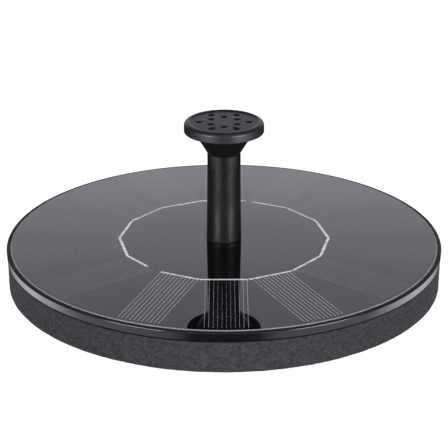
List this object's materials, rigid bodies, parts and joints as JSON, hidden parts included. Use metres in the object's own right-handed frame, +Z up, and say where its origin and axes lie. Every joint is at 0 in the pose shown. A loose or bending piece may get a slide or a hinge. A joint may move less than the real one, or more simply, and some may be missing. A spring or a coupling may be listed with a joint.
{
  "type": "solar fountain pump",
  "caption": "Floating round solar panel with a foam float, a sealed brushless pump beneath its centre, and a push-fit spray head on an extension tube.",
  "frame": {"origin": "on the disc's axis, at the foot of the strainer under the pump", "axes": "+Z up along the tube and the pump's shaft; -Y is the side that faces the viewer"},
  "size_m": [0.16, 0.16, 0.0759],
  "materials": {
    "head_plastic": "satin moulded ABS",
    "tube_plastic": "satin moulded ABS",
    "panel_glaze": "clear glossy epoxy laminate",
    "solar_cell": "dark silicon wafer",
    "bus_ribbon": "tinned copper ribbon",
    "panel_board": "black circuit board",
    "tray_plastic": "glossy black moulded plastic",
    "foam": "closed-cell EVA foam",
    "pump_plastic": "moulded black ABS",
    "seal_rubber": "black silicone rubber",
    "screw_steel": "stainless steel",
    "potting_resin": "black epoxy resin",
    "circuit_board": "green solder mask",
    "chip_black": "moulded epoxy with tinned pins",
    "capacitor_ceramic": "ceramic chip",
    "lead_red": "red PVC insulation",
    "lead_black": "black PVC insulation",
    "stator_iron": "laminated silicon steel",
    "coil_copper": "enamelled copper winding",
    "magnet_ferrite": "sintered ferrite",
    "impeller_plastic": "moulded acetal",
    "bush_carbon": "carbon-filled plastic",
    "shaft_ceramic": "polished zirconia",
    "sponge": "open-cell filter foam",
    "strainer_plastic": "moulded black ABS"
  },
  "bodies": {
    "float": {"panel_glaze": "panel_glaze", "bus_ribbons": "bus_ribbon", "panel_board": "panel_board", "float_tray": "tray_plastic", "foam_float": "foam", "outlet_manifold": "pump_plastic", "outlet_seal": "seal_rubber", "pump_body": "pump_plastic", "housing_screws": "screw_steel", "potting_seal": "potting_resin", "driver_board": "circuit_board", "driver_chip": "chip_black", "hall_sensor": "chip_black", "capacitors": "capacitor_ceramic", "lead_positive": "lead_red", "lead_negative": "lead_black", "stator_core": "stator_iron", "stator_coils": "coil_copper", "rotor_shaft": "shaft_ceramic", "shaft_seat_upper": "seal_rubber", "shaft_seat_lower": "seal_rubber", "volute_cover": "pump_plastic", "volute_seal": "seal_rubber", "volute_screws": "screw_steel", "solar_cell_01": "solar_cell", "solar_cell_02": "solar_cell", "solar_cell_03": "solar_cell", "solar_cell_04": "solar_cell", "solar_cell_05": "solar_cell", "solar_cell_06": "solar_cell", "solar_cell_07": "solar_cell", "solar_cell_08": "solar_cell", "solar_cell_09": "solar_cell", "solar_cell_10": "solar_cell", "solar_cell_11": "solar_cell", "solar_cell_12": "solar_cell", "solar_cell_13": "solar_cell", "solar_cell_14": "solar_cell"},
    "rotor": {"rotor_magnet": "magnet_ferrite", "impeller": "impeller_plastic", "rotor_bush_upper": "bush_carbon", "rotor_bush_lower": "bush_carbon"},
    "strainer": {"strainer_cover": "strainer_plastic", "filter_sponge": "sponge"},
    "tube": {"extension_tube": "tube_plastic"},
    "funnel": {"nozzle_funnel": "tube_plastic"},
    "head": {"spray_disc": "head_plastic"}
  },
  "joints": [
    {"name": "rotor_spin", "type": "hinge", "parent": "float", "child": "rotor", "pos_m": [0, 0, 0.012], "axis": [0, 0, 1], "continuous": true},
    {"name": "strainer_twist", "type": "hinge", "parent": "float", "child": "strainer", "pos_m": [0, 0, 0], "axis": [0, 0, 1], "range_deg": [0, 30]},
    {"name": "tube_lift", "type": "slide", "parent": "float", "child": "tube", "axis": [0, 0, 1], "range_m": [0, 0.02]},
    {"name": "funnel_lift", "type": "slide", "parent": "tube", "child": "funnel", "axis": [0, 0, 1], "range_m": [0, 0.014]},
    {"name": "spray_disc_lift", "type": "slide", "parent": "funnel", "child": "head", "axis": [0, 0, 1], "range_m": [0, 0.01]}
  ]
}
